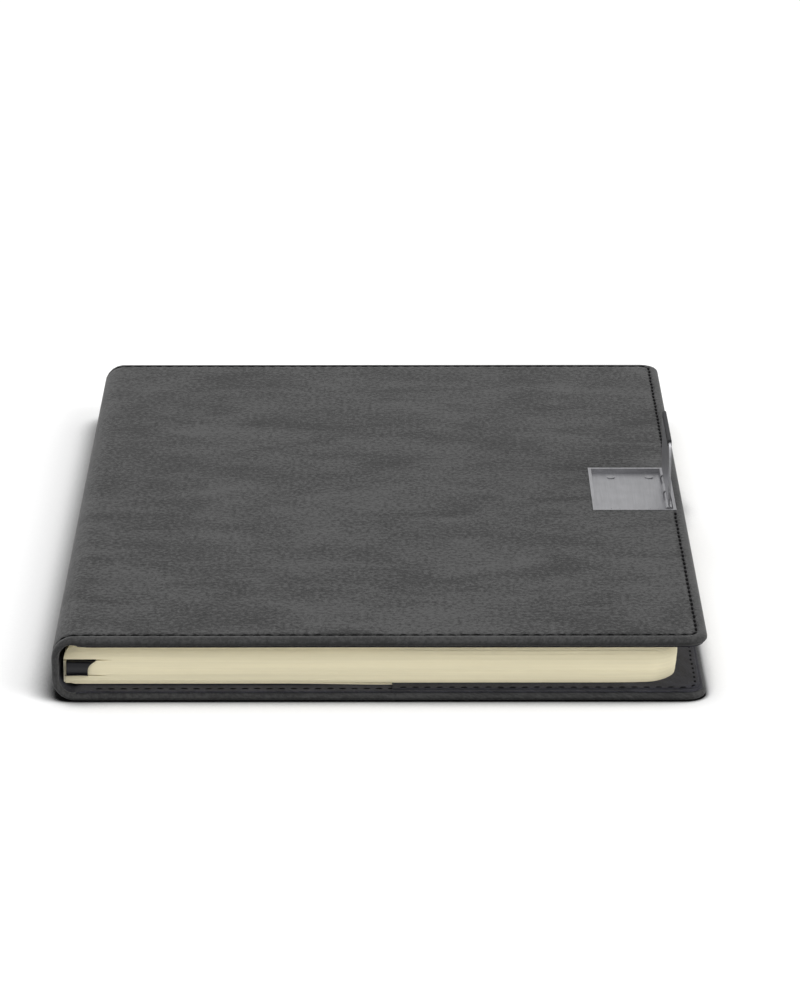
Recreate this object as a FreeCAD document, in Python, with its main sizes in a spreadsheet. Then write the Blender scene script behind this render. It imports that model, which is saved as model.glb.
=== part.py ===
import FreeCAD, Part
import math
import os
import Sketcher

# A closed A5 notebook organiser whose front cover is a wireless charging pad. Millimetres.
# +X runs from the spine to the fore-edge, +Y from the tail to the head, +Z up from the table.
# The origin is under the middle of the closed covers, on the table.

# name, value in mm, what it is
SIZES = [
    ("cover_width", 156, "spine to fore-edge, over the covers"),
    ("cover_length", 220, "tail to head, over the covers"),
    ("stack_height", 16, "closed height, table to the top of the front cover"),
    ("cover_corner", 5, "radius of the covers' fore-edge corners"),
    ("skin_floor", 0.7, "suede skin over a board"),
    ("skin_wall", 1.5, "rolled rim of the skin round a board"),
    ("spine_skin_thick", 1.1, "skin at the spine"),
    ("spine_radius", 5.5, "outer bend of the spine"),
    ("spine_flat", 0.2, "straight run past each spine bend"),
    ("spine_lining_thick", 0.3, "lining inside the spine"),
    ("back_board_thick", 1.2, "greyboard in the back cover"),
    ("front_board_thick", 1.6, "greyboard in the front cover"),
    ("back_lining_thick", 0.4, "lining of the back cover"),
    ("front_lining_thick", 0.3, "lining of the front cover"),
    ("lining_inset", 0.8, "lining short of the cover's edge"),
    ("board_gap", 1.3, "board short of the spine bend"),
    ("card_thick", 0.3, "cover card of the paper insert"),
    ("pocket_thick", 0.3, "sheet of an inner pocket"),
    ("pocket_mouth", 3, "X of the pocket mouths"),
    ("pocket_seam", 1.5, "sewn edge of a pocket"),
    ("pocket_inset", 2, "pocket short of the cover's ends"),
    ("leaf_length", 210, "paper leaves, tail to head"),
    ("leaf_fore", 71.4, "X of the leaves' fore-edge"),
    ("leaf_back", 75.1, "distance of the leaves' bound edge from the middle"),
    ("leaf_corner", 6, "radius of the leaves' fore-edge corners"),
    ("leaf_clear", 0.1, "leaves clear of the front pocket"),
    ("card_short", 0.5, "cover cards short of the bound edge"),
    ("binding_thick", 0.3, "card down the bound edge"),
    ("ribbon_split", 4.7, "height at which the ribbon goes back into the leaves"),
    ("turn_height", 8.7, "height of the line that the front leaves turn on"),
    ("turn_gap", 0.2, "leaves clear of that line"),
    ("ribbon_width", 6.5, "bookmark ribbon"),
    ("ribbon_thick", 0.2, "bookmark ribbon"),
    ("ribbon_left", 74.7, "distance of the ribbon's edge from the middle"),
    ("ribbon_bulge", 1.2, "how far the ribbon's loop stands off the leaves"),
    ("ribbon_run", 45, "ribbon between the leaves"),
    ("ribbon_bed", 0.25, "bed of the ribbon's lower run in the leaves"),
    ("coil_centre", 10, "X of the charging coil"),
    ("coil_outer", 21, "outer radius of the charging coil"),
    ("coil_inner", 10, "inner radius of the charging coil"),
    ("coil_thick", 0.8, "charging coil"),
    ("shield_radius", 24, "ferrite shield"),
    ("shield_thick", 0.4, "ferrite shield"),
    ("tray_thick", 0.2, "tray under the charging module"),
    ("bay_half", 26, "half the width of the module's bay in the board"),
    ("bay_head", 56, "Y of the bay's head end"),
    ("bay_gap", 0.2, "tray clear of the bay's sides"),
    ("circuit_thick", 0.6, "circuit board"),
    ("circuit_tail", 30, "Y of the circuit board's tail edge"),
    ("circuit_length", 24, "circuit board along Y"),
    ("circuit_inset", 2, "circuit board short of the bay's sides"),
    ("chip_tall", 0.6, "parts on the circuit board"),
    ("flex_thick", 0.15, "flexible lead"),
    ("flex_width", 6, "flexible lead"),
    ("flex_slack", 0.5, "lead's slot clear of the lead"),
    ("flex_behind", 0.3, "lead's opening behind the place where it turns down"),
    ("flex_ahead", 0.6, "lead's opening ahead of the place where it turns down"),
    ("flex_past", 1, "lead's slot past the place where it turns down"),
    ("flex_high", 0.25, "top of the lead above the tray"),
    ("flex_centre", 33, "Y of the flexible lead"),
    ("flex_down", 73.2, "X at which the lead turns down to the port"),
    ("port_centre", 30, "Y of the power socket"),
    ("port_fore", 77.6, "X of the port block's outer face"),
    ("port_deep", 5.7, "port block along X"),
    ("port_length", 20, "port block along Y"),
    ("port_tall", 4, "port block"),
    ("socket_wide", 8.9, "power socket along Y"),
    ("socket_tall", 3.2, "power socket"),
    ("socket_deep", 5.2, "power socket along X"),
    ("socket_wall", 0.3, "power socket's shell"),
    ("port_corner", 1.5, "lower corners of the port block"),
    ("tongue_wide", 6.6, "contact tongue"),
    ("tongue_thick", 0.7, "contact tongue"),
    ("tongue_base", 0.9, "base behind the contact tongue"),
    ("tongue_long", 4.2, "contact tongue with its base"),
    ("led_radius", 0.7, "status light"),
    ("led_deep", 1.2, "status light"),
    ("led_offset", 7, "status light from the middle of the port block"),
    ("pan_spine", 54.6, "X of the stand pan's spine side"),
    ("pan_fore", 76, "X of the stand pan's fore side"),
    ("pan_half", 17, "half the stand pan's length along Y"),
    ("pan_deep", 1.4, "stand pan"),
    ("pan_floor", 0.2, "stand pan's floor"),
    ("pan_wall", 0.8, "stand pan's rim"),
    ("pan_proud", 0.1, "pan's rim above the cover"),
    ("hinge_x", 74.2, "X of the stand's hinge"),
    ("hinge_z", 15.7, "height of the stand's hinge"),
    ("pin_radius", 0.4, "stand's hinge pin"),
    ("pin_clear", 0.05, "running clearance of the stand on its pin"),
    ("base_knuckle", 0.9, "radius of the pan's hinge knuckles"),
    ("leaf_knuckle", 0.65, "radius of the plate's hinge knuckles"),
    ("knuckle_pitch", 6.4, "spacing of the hinge knuckles"),
    ("knuckle_long", 6, "one hinge knuckle"),
    ("plate_half", 15, "half the stand plate's width along Y"),
    ("plate_thick", 0.6, "stand plate"),
    ("plate_start", 1.2, "stand plate from the hinge line"),
    ("plate_reach", 17, "stand plate's free end from the hinge line"),
    ("plate_corner", 3, "corners of the plate's free end"),
    ("tip_thick", 1, "silicone edging"),
    ("tip_grip", 1, "edging over the plate"),
    ("tip_over", 0.7, "edging past the plate"),
    ("tip_round", 0.4, "rounding of the edging"),
    ("rivet_radius", 0.6, "rivet shank"),
    ("rivet_head", 1.1, "rivet head"),
    ("rivet_proud", 0.2, "rivet head above the pan's floor"),
    ("rivet_y", 12.5, "rivets from the stand's middle"),
]

RIVET_X = (60.5, 70.5)
# x and y of a corner, then the sizes along X and Y, of each part on the circuit board
CHIPS = [(-11, 33, 5, 5), (-3, 33, 7, 7), (7, 34, 4, 6), (14, 33, 3, 3), (20, 33, 8, 6),
         (-10, 43, 6, 4), (0, 44, 3, 3), (8, 44, 10, 5), (23, 44, 4, 7)]
SMALLEST_CUT = 1e-3


class Dim:
    """A length that carries its value and the sheet expression it comes from."""

    def __init__(self, text, value):
        self.text = text
        self.value = value

    def joined(self, sign, other, value):
        return Dim(f"({self.text} {sign} {other.text})", value)

    def __add__(self, other):
        other = dim(other)
        return self.joined("+", other, self.value + other.value)

    def __sub__(self, other):
        other = dim(other)
        return self.joined("-", other, self.value - other.value)

    def __mul__(self, number):
        return self.joined("*", dim(number), self.value * number)

    def __truediv__(self, number):
        return self.joined("/", dim(number), self.value / number)

    def __neg__(self):
        return Dim(f"(-{self.text})", -self.value)


def dim(length):
    """Give a plain number the form of a Dim."""
    return length if isinstance(length, Dim) else Dim(f"({float(length)})", float(length))


doc = FreeCAD.newDocument("charging_organiser")
size = {name: Dim(f"Sizes.{name}", value) for name, value, _ in SIZES}
nodes = []


def write_sheet():
    """Put every driving size in the sheet, under its name."""
    sheet = doc.addObject("Spreadsheet::Sheet", "Sizes")
    for row, (name, value, note) in enumerate(SIZES, start=1):
        sheet.set(f"A{row}", name)
        sheet.set(f"B{row}", str(value))
        sheet.setAlias(f"B{row}", name)
        sheet.set(f"C{row}", note)
    doc.recompute()


# ---- how a piece is drawn ----

def bind(thing, prop, length):
    """Bind one property to the sheet."""
    thing.setExpression(prop, dim(length).text)


def new_body(label, at=(0, 0, 0)):
    """Start a body whose own origin stands at a place in the model."""
    body = doc.addObject("PartDesign::Body", label)
    body.Label = label
    for axis, length in zip("xyz", at):
        bind(body, f"Placement.Base.{axis}", length)
    nodes.append(body)
    return body


def new_sketch(body, plane, height=0):
    """Attach a sketch to one of the body's own planes, moved along its normal."""
    sketch = body.newObject("Sketcher::SketchObject", f"{body.Label}_outline")
    planes = {feature.Role: feature for feature in body.Origin.OriginFeatures}
    sketch.AttachmentSupport = [(planes[plane], "")]
    sketch.MapMode = "FlatFace"
    bind(sketch, "AttachmentOffset.Base.z", height)
    return sketch


def hold_point(sketch, curve, end, place):
    """Hold a point of a sketch at bound distances from the sketch's axes."""
    for kind, axis, length in (("DistanceX", -2, dim(place[0])), ("DistanceY", -1, dim(place[1]))):
        if length.value == 0:
            sketch.addConstraint(Sketcher.Constraint("PointOnObject", curve, end, axis))
            continue
        index = sketch.addConstraint(Sketcher.Constraint(kind, -1, 1, curve, end, length.value))
        bind(sketch, f"Constraints[{index}]", length)


def outline(sketch, points):
    """Draw a closed outline through points, each held where it is."""
    places = [FreeCAD.Vector(dim(x).value, dim(y).value, 0) for x, y in points]
    following = places[1:] + places[:1]
    first = sketch.GeometryCount
    sketch.addGeometry([Part.LineSegment(a, b) for a, b in zip(places, following)], False)
    for number, point in enumerate(points):
        before = first + (number - 1) % len(points)
        sketch.addConstraint(Sketcher.Constraint("Coincident", before, 2, first + number, 1))
        hold_point(sketch, first + number, 1, point)


def rectangle(sketch, across, along):
    """Draw a rectangle between two bounds each way."""
    (left, right), (low, high) = across, along
    outline(sketch, [(left, low), (right, low), (right, high), (left, high)])


def circle(sketch, centre, radius):
    """Draw a circle with its centre and radius held."""
    middle = FreeCAD.Vector(dim(centre[0]).value, dim(centre[1]).value, 0)
    number = sketch.addGeometry(Part.Circle(middle, FreeCAD.Vector(0, 0, 1), radius.value), False)
    hold_point(sketch, number, 3, centre)
    index = sketch.addConstraint(Sketcher.Constraint("Radius", number, radius.value))
    bind(sketch, f"Constraints[{index}]", radius)


def stadium(sketch, half_wide, half_tall):
    """Draw a slot with round ends: two half circles joined by two straight runs."""
    reach = half_wide - half_tall
    radius, far = half_tall.value, reach.value
    up = FreeCAD.Vector(0, 0, 1)
    quarter = math.pi / 2
    right = Part.ArcOfCircle(Part.Circle(FreeCAD.Vector(far, 0, 0), up, radius), -quarter, quarter)
    left = Part.ArcOfCircle(Part.Circle(FreeCAD.Vector(-far, 0, 0), up, radius), quarter, 3 * quarter)
    top = Part.LineSegment(FreeCAD.Vector(far, radius, 0), FreeCAD.Vector(-far, radius, 0))
    bottom = Part.LineSegment(FreeCAD.Vector(-far, -radius, 0), FreeCAD.Vector(far, -radius, 0))
    ring = sketch.addGeometry([right, top, left, bottom], False)
    for number, following in zip(ring, ring[1:] + ring[:1]):
        sketch.addConstraint(Sketcher.Constraint("Tangent", number, 2, following, 1))
    for number, centre in ((ring[0], reach), (ring[2], -reach)):
        hold_point(sketch, number, 3, (centre, 0))
        index = sketch.addConstraint(Sketcher.Constraint("Radius", number, radius))
        bind(sketch, f"Constraints[{index}]", half_tall)


def pad(body, sketch, length, symmetric=False):
    """Pad a sketch along its normal, or to both sides of it."""
    feature = body.newObject("PartDesign::Pad", f"{body.Label}_pad")
    feature.Profile = sketch
    feature.SideType = "Symmetric" if symmetric else "One side"
    bind(feature, "Length", length)
    doc.recompute()
    return feature


def pocket(body, sketch, length, symmetric=False):
    """Cut a sketch against its normal, or to both sides of it, and check that it cut."""
    before = body.Shape.Volume
    feature = body.newObject("PartDesign::Pocket", f"{body.Label}_pocket")
    feature.Profile = sketch
    feature.SideType = "Symmetric" if symmetric else "One side"
    bind(feature, "Length", length)
    doc.recompute()
    if before - body.Shape.Volume < SMALLEST_CUT:
        raise RuntimeError(f"a pocket of {body.Label} cut nothing")
    return feature


def round_edges(body, axis, radius, wanted):
    """Fillet the straight edges along an axis whose middle is wanted."""
    names = []
    for number, edge in enumerate(body.Tip.Shape.Edges, start=1):
        if not isinstance(edge.Curve, Part.Line) or abs(edge.Curve.Direction.dot(axis)) < 0.999:
            continue
        if wanted(edge.CenterOfMass):
            names.append(f"Edge{number}")
    if not names:
        raise RuntimeError(f"no edge of {body.Label} to round")
    base = body.Tip
    feature = body.newObject("PartDesign::Fillet", f"{body.Label}_fillet")
    feature.Base = (base, names)
    bind(feature, "Radius", radius)
    doc.recompute()


ALONG_X = FreeCAD.Vector(1, 0, 0)
ALONG_Y = FreeCAD.Vector(0, 1, 0)
ALONG_Z = FreeCAD.Vector(0, 0, 1)


def plate(label, across, along, low, thick, corner=None):
    """Make a flat sheet, with its fore-edge corners rounded."""
    body = new_body(label, (0, 0, low))
    sketch = new_sketch(body, "XY_Plane")
    rectangle(sketch, across, along)
    pad(body, sketch, thick)
    if corner is not None:
        fore = dim(across[1]).value
        round_edges(body, ALONG_Z, corner, lambda middle: abs(middle.x - fore) < 0.01)
    return body


def recess(body, across, along, top, deep):
    """Cut a rectangular recess down from a height in the body."""
    sketch = new_sketch(body, "XY_Plane", top)
    rectangle(sketch, across, along)
    pocket(body, sketch, deep)


def both_ways(length):
    """The span from minus a length to plus it."""
    return (-length, length)


# ---- places that several pieces share ----

FORE = size["cover_width"] / 2
END = size["cover_length"] / 2
BEND = -(FORE - size["spine_radius"] - size["spine_flat"])
BOARD_FORE = FORE - size["skin_wall"]
BOARD_END = END - size["skin_wall"]
BOARD_CORNER = size["cover_corner"] - size["skin_wall"]
LINING_FORE = FORE - size["lining_inset"]
LINING_END = END - size["lining_inset"]
LINING_CORNER = size["cover_corner"] - size["lining_inset"]
POCKET_END = END - size["pocket_inset"]
LEAF_END = size["leaf_length"] / 2
CARD_SPINE = -(size["leaf_back"] - size["card_short"])

BACK_LINING_LOW = size["skin_floor"] + size["back_board_thick"]
BACK_INSIDE = BACK_LINING_LOW + size["back_lining_thick"]
BACK_POCKET_TOP = BACK_INSIDE + size["card_thick"] + size["pocket_thick"]
FRONT_SKIN_LOW = size["stack_height"] - size["skin_floor"] - size["front_board_thick"]
FRONT_INSIDE = FRONT_SKIN_LOW - size["front_lining_thick"]
FRONT_CARD_LOW = FRONT_INSIDE - size["card_thick"]
FRONT_POCKET_LOW = FRONT_CARD_LOW - size["pocket_thick"]
LEAVES_TOP = FRONT_POCKET_LOW - size["leaf_clear"]
BOUND_EDGE = -(size["leaf_back"] + size["binding_thick"])
LEAVES_SPLIT = size["turn_height"] - size["turn_gap"]
FRONT_LEAVES_LOW = size["turn_height"] + size["turn_gap"]
PAN_LOW = size["stack_height"] + size["pan_proud"] - size["pan_deep"]
TRAY_TOP = FRONT_SKIN_LOW + size["tray_thick"]
BAY = (size["coil_centre"] - size["bay_half"], size["coil_centre"] + size["bay_half"])
BAY_ALONG = (-size["bay_half"], size["bay_head"])


# ---- back cover ----

def back_cover_skin():
    """A shallow suede tray, open to the spine, that the back board lies in."""
    tall = BACK_LINING_LOW
    skin = plate("back_cover_skin", (BEND, FORE), both_ways(END), 0, tall, size["cover_corner"])
    recess(skin, (BEND, BOARD_FORE), both_ways(BOARD_END), tall, size["back_board_thick"])


def back_board():
    """Greyboard, stopping short of the spine bend."""
    across = (BEND + size["board_gap"], BOARD_FORE)
    plate("back_board", across, both_ways(BOARD_END), size["skin_floor"],
          size["back_board_thick"], BOARD_CORNER)


def back_lining():
    """Lining over the board and the turned-in skin."""
    plate("back_lining", (BEND, LINING_FORE), both_ways(LINING_END), BACK_LINING_LOW,
          size["back_lining_thick"], LINING_CORNER)


def pocket_sheet(label, low, seam_top):
    """A pocket sewn on three sides, with a card's room between it and the lining."""
    tall = size["card_thick"] + size["pocket_thick"]
    sheet = plate(label, (size["pocket_mouth"], BOARD_FORE), both_ways(POCKET_END), low, tall,
                  BOARD_CORNER)
    seam = size["pocket_seam"]
    recess(sheet, (size["pocket_mouth"], BOARD_FORE - seam), both_ways(POCKET_END - seam),
           seam_top, size["card_thick"])
    return sheet


def back_pocket():
    """Pocket of the back cover, open towards the spine."""
    pocket_sheet("back_pocket", BACK_INSIDE, size["card_thick"])


# ---- paper insert and ribbon ----

def insert_card(label, low):
    """Cover card of the paper insert, pushed into a pocket."""
    plate(label, (CARD_SPINE, size["leaf_fore"]), both_ways(LEAF_END), low,
          size["card_thick"], size["leaf_corner"])


def leaves_lower():
    """Leaves under the ribbon's lower end."""
    plate("leaves_lower", (-size["leaf_back"], size["leaf_fore"]), both_ways(LEAF_END),
          BACK_POCKET_TOP, size["ribbon_split"] - BACK_POCKET_TOP, size["leaf_corner"])


def leaves_middle():
    """Leaves inside the ribbon's loop, with a bed for its lower run."""
    tall = LEAVES_SPLIT - size["ribbon_split"]
    leaves = plate("leaves_middle", (-size["leaf_back"], size["leaf_fore"]), both_ways(LEAF_END),
                   size["ribbon_split"], tall, size["leaf_corner"])
    left = -size["ribbon_left"]
    across = (left - size["ribbon_thick"], left + size["ribbon_width"] + size["ribbon_thick"])
    bed = size["ribbon_bed"]
    recess(leaves, across, (-LEAF_END, -LEAF_END + size["ribbon_run"]), bed, bed)


def leaves_front():
    """Leaves that turn over with the front cover."""
    plate("leaves_front", (BOUND_EDGE, size["leaf_fore"]), both_ways(LEAF_END),
          FRONT_LEAVES_LOW, LEAVES_TOP - FRONT_LEAVES_LOW, size["leaf_corner"])


def insert_spine_card():
    """Card glued down the bound edge of the lower leaves."""
    low = BACK_POCKET_TOP + size["binding_thick"]
    plate("insert_spine_card", (BOUND_EDGE, -size["leaf_back"]), both_ways(LEAF_END), low,
          LEAVES_SPLIT - low)


def bookmark_ribbon():
    """A ribbon that leaves the block over one bundle and goes back in under it."""
    body = new_body("bookmark_ribbon", (-size["ribbon_left"], 0, size["ribbon_split"]))
    thick = size["ribbon_thick"]
    top = LEAVES_SPLIT - size["ribbon_split"]
    inner_end = -LEAF_END + size["ribbon_run"] - thick
    loop = -(LEAF_END + size["ribbon_bulge"])
    sketch = new_sketch(body, "YZ_Plane")
    outline(sketch, [(inner_end, 0), (loop - thick, 0), (loop - thick, top + thick),
                     (inner_end, top + thick), (inner_end, top), (loop, top),
                     (loop, thick), (inner_end, thick)])
    pad(body, sketch, size["ribbon_width"])


# ---- spine ----

def bent_strip(label, outside, thick, radius):
    """A strip bent round the spine: a C with equal legs, its bends concentric."""
    height = size["stack_height"]
    left = -FORE + outside
    body = new_body(label)
    sketch = new_sketch(body, "XZ_Plane")
    outline(sketch, [(BEND, outside), (left, outside), (left, height - outside),
                     (BEND, height - outside), (BEND, height - outside - thick),
                     (left + thick, height - outside - thick), (left + thick, dim(outside) + thick),
                     (BEND, dim(outside) + thick)])
    pad(body, sketch, size["cover_length"], symmetric=True)
    for shift, bend in ((dim(0), radius), (thick, radius - thick)):
        corner = (left + shift).value
        round_edges(body, ALONG_Y, bend, lambda middle: abs(middle.x - corner) < 0.01)


def spine_pieces():
    """Suede spine and the lining inside it."""
    bent_strip("spine_skin", dim(0), size["spine_skin_thick"], size["spine_radius"])
    bent_strip("spine_lining", size["spine_skin_thick"], size["spine_lining_thick"],
               size["spine_radius"] - size["spine_skin_thick"])


# ---- front cover ----

def front_cover_skin():
    """A suede tray turned over the front board, with a window for the stand."""
    tall = size["skin_floor"] + size["front_board_thick"]
    skin = plate("front_cover_skin", (BEND, FORE), both_ways(END), FRONT_SKIN_LOW, tall,
                 size["cover_corner"])
    recess(skin, (BEND, BOARD_FORE), both_ways(BOARD_END), size["front_board_thick"],
           size["front_board_thick"])
    deep = size["pan_deep"] - size["pan_proud"]
    recess(skin, (size["pan_spine"], size["pan_fore"]), both_ways(size["pan_half"]), tall, deep)


def front_board():
    """Greyboard with a bay for the charger, a bed for the stand and a slot for the lead."""
    thick = size["front_board_thick"]
    board = plate("front_board", (BEND + size["board_gap"], BOARD_FORE), both_ways(BOARD_END),
                  FRONT_SKIN_LOW, thick, BOARD_CORNER)
    recess(board, BAY, BAY_ALONG, thick, thick)
    bed = FRONT_SKIN_LOW + thick - PAN_LOW
    recess(board, (size["pan_spine"], BOARD_FORE), both_ways(size["pan_half"]), thick, bed)
    half = size["flex_width"] / 2 + size["flex_slack"]
    slot = (size["flex_centre"] - half, size["flex_centre"] + half)
    recess(board, (BAY[1], size["flex_down"] + size["flex_past"]), slot, thick / 2, thick / 2)
    holes = new_sketch(board, "XY_Plane", thick)
    for x in RIVET_X:
        for side in both_ways(size["rivet_y"]):
            circle(holes, (x, side), size["rivet_radius"])
    pocket(board, holes, thick)


def lead_hole(body, top, deep):
    """Cut the opening that the flexible lead drops through."""
    half = size["flex_width"] / 2 + size["flex_slack"]
    along = (size["flex_centre"] - half, size["flex_centre"] + half)
    across = (size["flex_down"] - size["flex_behind"], size["flex_down"] + size["flex_ahead"])
    recess(body, across, along, top, deep)


def front_lining():
    """Lining inside the front cover."""
    lining = plate("front_lining", (BEND, LINING_FORE), both_ways(LINING_END), FRONT_INSIDE,
                   size["front_lining_thick"], LINING_CORNER)
    lead_hole(lining, size["front_lining_thick"], size["front_lining_thick"])


def front_pocket():
    """Pocket of the front cover, open towards the spine."""
    tall = size["card_thick"] + size["pocket_thick"]
    sheet = pocket_sheet("front_pocket", FRONT_POCKET_LOW, tall)
    lead_hole(sheet, size["pocket_thick"], size["pocket_thick"])


# ---- charger ----

def charger_tray():
    """Thin tray that carries the shield and the circuit board."""
    gap = size["bay_gap"]
    plate("charger_tray", (BAY[0] + gap, BAY[1] - gap), (BAY_ALONG[0] + gap, BAY_ALONG[1] - gap),
          FRONT_SKIN_LOW, size["tray_thick"])


def disc(label, low, thick, radii):
    """A disc or a ring round the coil's middle."""
    body = new_body(label, (size["coil_centre"], 0, low))
    sketch = new_sketch(body, "XY_Plane")
    for radius in radii:
        circle(sketch, (0, 0), radius)
    pad(body, sketch, thick)


def coil_and_shield():
    """Ferrite shield and the flat coil that lies on it."""
    disc("ferrite_shield", TRAY_TOP, size["shield_thick"], [size["shield_radius"]])
    disc("charging_coil", TRAY_TOP + size["shield_thick"], size["coil_thick"],
         [size["coil_outer"], size["coil_inner"]])


def charger_board():
    """Circuit board that drives the coil."""
    along = (size["circuit_tail"], size["circuit_tail"] + size["circuit_length"])
    across = (BAY[0] + size["circuit_inset"], BAY[1] - size["circuit_inset"])
    plate("charger_board", across, along, TRAY_TOP, size["circuit_thick"])


def charger_chips():
    """The parts soldered on the circuit board."""
    boxes = []
    for number, (x, y, wide, long) in enumerate(CHIPS, start=1):
        box = doc.addObject("Part::Box", f"chip_{number}")
        box.Length = wide
        box.Width = long
        bind(box, "Height", size["chip_tall"])
        box.Placement.Base = FreeCAD.Vector(x, y, 0)
        bind(box, "Placement.Base.z", TRAY_TOP + size["circuit_thick"])
        boxes.append(box)
    group("charger_chips", boxes)


def group(label, solids):
    """Put separate solids in one node."""
    compound = doc.addObject("Part::Compound", label)
    compound.Label = label
    compound.Links = solids
    nodes.append(compound)


def flex_lead():
    """Flat lead from the circuit board to the port, turned down at the fore-edge."""
    thick = size["flex_thick"]
    top = size["tray_thick"] + size["flex_high"]
    down = size["flex_down"]
    start = BAY[1] - size["circuit_inset"]
    bottom = FRONT_POCKET_LOW - FRONT_SKIN_LOW
    body = new_body("flex_lead", (0, size["flex_centre"], FRONT_SKIN_LOW))
    sketch = new_sketch(body, "XZ_Plane")
    outline(sketch, [(start, top - thick), (down, top - thick), (down, bottom),
                     (down + thick, bottom), (down + thick, top), (start, top)])
    pad(body, sketch, size["flex_width"], symmetric=True)


# ---- power inlet, in the overhang under the front cover's fore-edge ----

PORT_AT = (size["port_fore"], size["port_centre"], FRONT_POCKET_LOW - size["port_tall"] / 2)


def port_block():
    """Moulded block under the cover that holds the socket and the status light."""
    body = new_body("port_block", PORT_AT)
    half_tall = size["port_tall"] / 2
    half_long = size["port_length"] / 2
    sketch = new_sketch(body, "YZ_Plane", -size["port_deep"])
    rectangle(sketch, both_ways(half_long), both_ways(half_tall))
    pad(body, sketch, size["port_deep"])
    low = -half_tall.value
    round_edges(body, ALONG_X, size["port_corner"], lambda middle: abs(middle.z - low) < 0.01)
    bore = new_sketch(body, "YZ_Plane")
    stadium(bore, size["socket_wide"] / 2, size["socket_tall"] / 2)
    pocket(body, bore, size["socket_deep"])
    light = new_sketch(body, "YZ_Plane")
    circle(light, (size["led_offset"], 0), size["led_radius"])
    pocket(body, light, size["led_deep"])


def usb_socket_shell():
    """Drawn steel shell of the power socket, closed at the back by the tongue's base."""
    body = new_body("usb_socket_shell", PORT_AT)
    wide, tall = size["socket_wide"] / 2, size["socket_tall"] / 2
    wall = size["socket_wall"]
    sketch = new_sketch(body, "YZ_Plane", -size["socket_deep"])
    stadium(sketch, wide, tall)
    pad(body, sketch, size["socket_deep"])
    bore = new_sketch(body, "YZ_Plane")
    stadium(bore, wide - wall, tall - wall)
    pocket(body, bore, size["socket_deep"])


def usb_socket_tongue():
    """Contact tongue on the base that closes the back of the shell."""
    body = new_body("usb_socket_tongue", PORT_AT)
    base_wide = size["socket_wide"] / 2 - size["socket_tall"] / 2
    base_tall = size["socket_tall"] / 2 - size["socket_wall"]
    tongue_wide, tongue_tall = size["tongue_wide"] / 2, size["tongue_thick"] / 2
    for half_wide, half_tall, long in ((base_wide, base_tall, size["tongue_base"]),
                                       (tongue_wide, tongue_tall, size["tongue_long"])):
        sketch = new_sketch(body, "YZ_Plane", -size["socket_deep"])
        rectangle(sketch, both_ways(half_wide), both_ways(half_tall))
        pad(body, sketch, long)


def status_led():
    """Clear lens of the status light."""
    body = new_body("status_led", PORT_AT)
    sketch = new_sketch(body, "YZ_Plane", -size["led_deep"])
    circle(sketch, (size["led_offset"], 0), size["led_radius"])
    pad(body, sketch, size["led_deep"])


# ---- fold-up phone stand, raised ----

def knuckles(body, places, radius, clear):
    """Hinge knuckles at several places along the hinge, bored for the pin."""
    for place in places:
        sketch = new_sketch(body, "XZ_Plane", size["knuckle_pitch"] * -place)
        circle(sketch, (0, 0), radius)
        pad(body, sketch, size["knuckle_long"], symmetric=True)
    bore = new_sketch(body, "XZ_Plane")
    circle(bore, (0, 0), size["pin_radius"] + clear)
    pocket(body, bore, size["pan_half"] * 2 - size["pan_wall"] * 2, symmetric=True)


HINGE_AT = (size["hinge_x"], 0, size["hinge_z"])


def stand_base():
    """A shallow steel pan let into the cover, with three knuckles."""
    body = new_body("stand_base", HINGE_AT)
    low = PAN_LOW - size["hinge_z"]
    top = low + size["pan_deep"]
    across = (size["pan_spine"] - size["hinge_x"], size["pan_fore"] - size["hinge_x"])
    wall = size["pan_wall"]
    sketch = new_sketch(body, "XY_Plane", low)
    rectangle(sketch, across, both_ways(size["pan_half"]))
    pad(body, sketch, size["pan_deep"])
    recess(body, (across[0] + wall, across[1] - wall), both_ways(size["pan_half"] - wall), top,
           size["pan_deep"] - size["pan_floor"])
    holes = new_sketch(body, "XY_Plane", low + size["pan_floor"])
    for x in RIVET_X:
        for side in both_ways(size["rivet_y"]):
            circle(holes, (dim(x) - size["hinge_x"], side), size["rivet_radius"])
    pocket(body, holes, size["pan_floor"])
    knuckles(body, (-2, 0, 2), size["base_knuckle"], 0)


def stand_hinge_pin():
    """Steel pin, tight in the pan's knuckles."""
    body = new_body("stand_hinge_pin", HINGE_AT)
    sketch = new_sketch(body, "XZ_Plane")
    circle(sketch, (0, 0), size["pin_radius"])
    pad(body, sketch, size["knuckle_pitch"] * 4 + size["knuckle_long"], symmetric=True)


def stand_leaf():
    """The raised plate: its middle plane runs through the pin, and its knuckles turn on it."""
    body = new_body("stand_leaf", HINGE_AT)
    half = size["plate_thick"] / 2
    sketch = new_sketch(body, "XY_Plane", size["plate_start"])
    rectangle(sketch, both_ways(half), both_ways(size["plate_half"]))
    pad(body, sketch, size["plate_reach"] - size["plate_start"])
    for place in (-1, 1):
        middle = size["knuckle_pitch"] * place
        along = (middle - size["knuckle_long"] / 2, middle + size["knuckle_long"] / 2)
        web = new_sketch(body, "XY_Plane")
        rectangle(web, both_ways(half), along)
        pad(body, web, size["plate_start"])
    knuckles(body, (-1, 1), size["leaf_knuckle"], size["pin_clear"])
    top = size["plate_reach"].value
    corner = size["plate_half"].value
    round_edges(body, ALONG_X, size["plate_corner"],
                lambda middle: middle.z > top - 0.01 and abs(middle.y) > corner - 0.01)


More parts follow.
